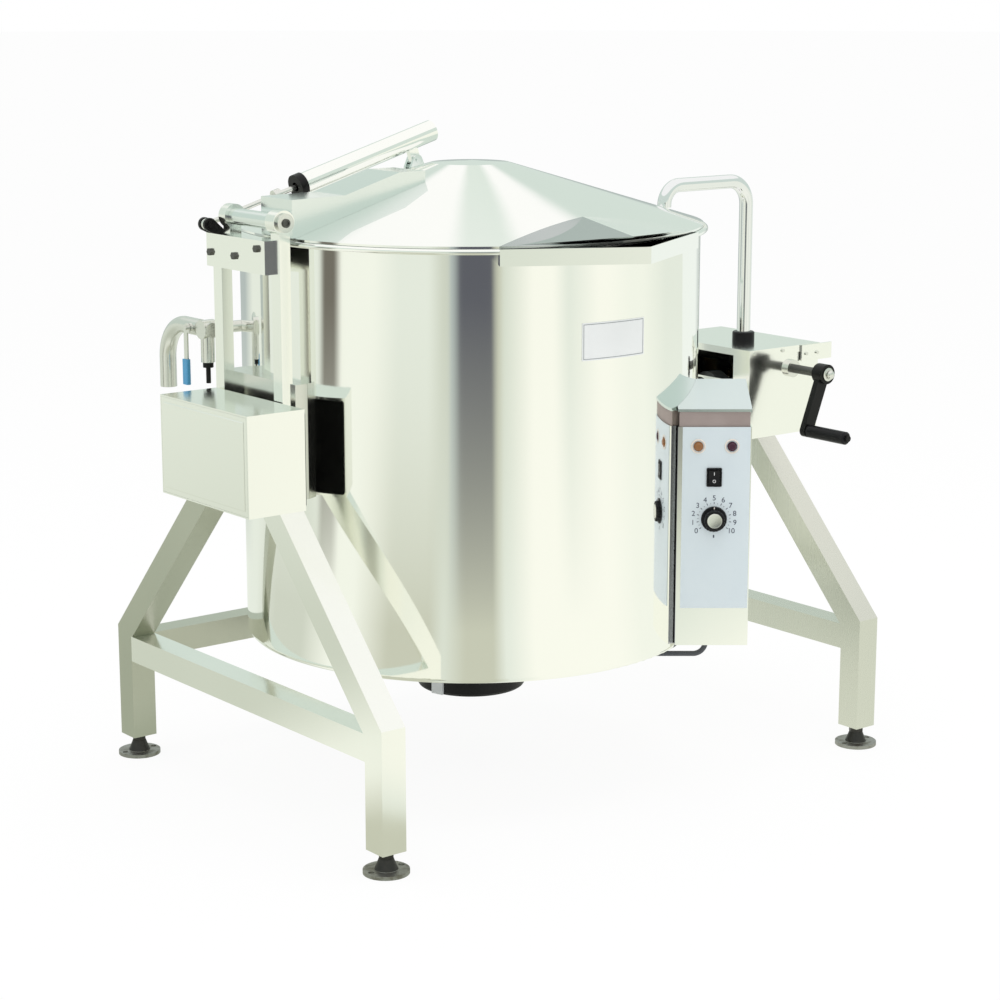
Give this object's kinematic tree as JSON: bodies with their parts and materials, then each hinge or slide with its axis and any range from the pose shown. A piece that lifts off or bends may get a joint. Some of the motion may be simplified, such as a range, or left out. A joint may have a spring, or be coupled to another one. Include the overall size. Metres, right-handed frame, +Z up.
{
  "type": "steam jacketed kettle",
  "caption": "Floor-standing steam jacketed kettle tilted on trunnions by a hand crank and worm gear, with a spring-assisted lid, pouring lip, control console and swivel faucet",
  "frame": {"origin": "on the floor, under the middle of the whole machine's bounding box", "axes": "+Z up, +X along the trunnions towards the gear housing and crank, -Y towards the pouring lip and console"},
  "size_m": [1.4276, 0.9768, 1.2393],
  "materials": {
    "frame": "satin stainless steel",
    "polished": "polished stainless steel",
    "chrome": "bright chrome",
    "bearing": "painted cast iron",
    "bronze": "machined bronze",
    "foot": "dark metal",
    "dark": "black painted steel",
    "black": "black moulded plastic",
    "grey": "light grey plastic",
    "panel": "pale blue printed film",
    "amber": "amber lens",
    "red": "dark red lens",
    "cable": "dark sheathed cable",
    "blue": "blue dipped vinyl"
  },
  "bodies": {
    "stand": {"left_front_leg": "frame", "left_rear_leg": "frame", "left_bottom_rail": "frame", "right_front_leg": "frame", "right_rear_leg": "frame", "right_bottom_rail": "frame", "rear_cross_rail": "frame", "levelling_feet": "foot", "left_housing": "polished", "left_housing_cover": "polished", "right_housing": "polished", "right_housing_cover": "polished", "trunnion_bearings": "bearing", "crank_bushes": "frame", "corner_plate": "polished", "housing_screws": "frame", "faucet_base": "black"},
    "kettle": {"outer_shell": "polished", "inner_vessel": "polished", "vessel_bottom": "polished", "steam_jacket": "frame", "rim_ring": "polished", "pouring_lip": "polished", "heating_elements": "frame", "heater_cover": "black", "cover_clip": "grey", "left_trunnion": "frame", "right_trunnion": "polished", "worm_wheel": "bronze", "front_post": "polished", "hinge_head": "polished", "hinge_pin": "frame", "hinge_bolts": "frame", "spring_anchor": "dark", "console_box": "polished", "control_panel": "panel", "vent_strip": "dark", "console_hood": "polished", "amber_lamp": "amber", "red_lamp": "red", "switch_bezel": "black", "console_conduit": "cable", "name_plate": "polished", "vent_valve": "frame", "relief_outlet": "dark", "vent_elbow": "polished"},
    "lid": {"lid": "polished", "lid_arm": "polished", "lid_bracket": "frame"},
    "spring_tube": {"spring_tube": "polished", "spring_collar": "dark"},
    "spring_rod": {"spring_rod": "frame"},
    "crank": {"worm_shaft": "frame", "crank": "dark"},
    "crank_grip": {"crank_grip": "black"},
    "faucet_spout": {"faucet_spout": "chrome"},
    "thermostat_knob": {"thermostat_knob": "black"},
    "power_switch": {"power_switch": "black"},
    "vent_lever": {"vent_lever": "frame", "lever_sleeve": "blue"}
  },
  "joints": [
    {"name": "kettle_tilt", "type": "hinge", "parent": "stand", "child": "kettle", "pos_m": [-0.11425, 0.0265, 0.665], "axis": [1, 0, 0], "range_deg": [0, 85]},
    {"name": "lid_hinge", "type": "hinge", "parent": "kettle", "child": "lid", "pos_m": [-0.57975, 0.0265, 1.088], "axis": [0, -1, 0], "range_deg": [0, 88]},
    {"name": "spring_tube_pivot", "type": "hinge", "parent": "lid", "child": "spring_tube", "pos_m": [-0.14325, 0.1635, 1.166], "axis": [0, -1, 0], "range_deg": [-6, 0]},
    {"name": "spring_rod_pivot", "type": "hinge", "parent": "kettle", "child": "spring_rod", "pos_m": [-0.60975, 0.1635, 1.0715], "axis": [0, -1, 0], "range_deg": [0, 83]},
    {"name": "crank_turn", "type": "hinge", "parent": "stand", "child": "crank", "pos_m": [0.60275, 0.0265, 0.723], "axis": [0, 1, 0], "range_deg": [0, 2550]},
    {"name": "grip_spin", "type": "hinge", "parent": "crank", "child": "crank_grip", "pos_m": [0.55975, -0.2735, 0.61097], "axis": [0, -1, 0], "continuous": true},
    {"name": "faucet_swivel", "type": "hinge", "parent": "stand", "child": "faucet_spout", "pos_m": [0.57975, -0.0015, 0.78], "axis": [0, 0, 1], "range_deg": [-120, 120]},
    {"name": "thermostat_turn", "type": "hinge", "parent": "kettle", "child": "thermostat_knob", "pos_m": [0.10491, -0.42591, 0.529], "axis": [0.6184, 0.7859, 0], "range_deg": [0, 270]},
    {"name": "power_rocker", "type": "hinge", "parent": "kettle", "child": "power_switch", "pos_m": [0.10412, -0.42529, 0.608], "axis": [0.7859, -0.6184, 0], "range_deg": [-9, 9]},
    {"name": "vent_lever_turn", "type": "hinge", "parent": "kettle", "child": "vent_lever", "pos_m": [-0.58025, 0.2915, 0.865], "axis": [1, 0, 0], "range_deg": [0, 90]}
  ],
  "couplings": [
    {"joint": "crank_turn", "follows": "kettle_tilt", "ratio": 30},
    {"joint": "spring_rod_pivot", "follows": "lid_hinge", "ratio": 0.938},
    {"joint": "spring_tube_pivot", "follows": "lid_hinge", "ratio": -0.062}
  ]
}
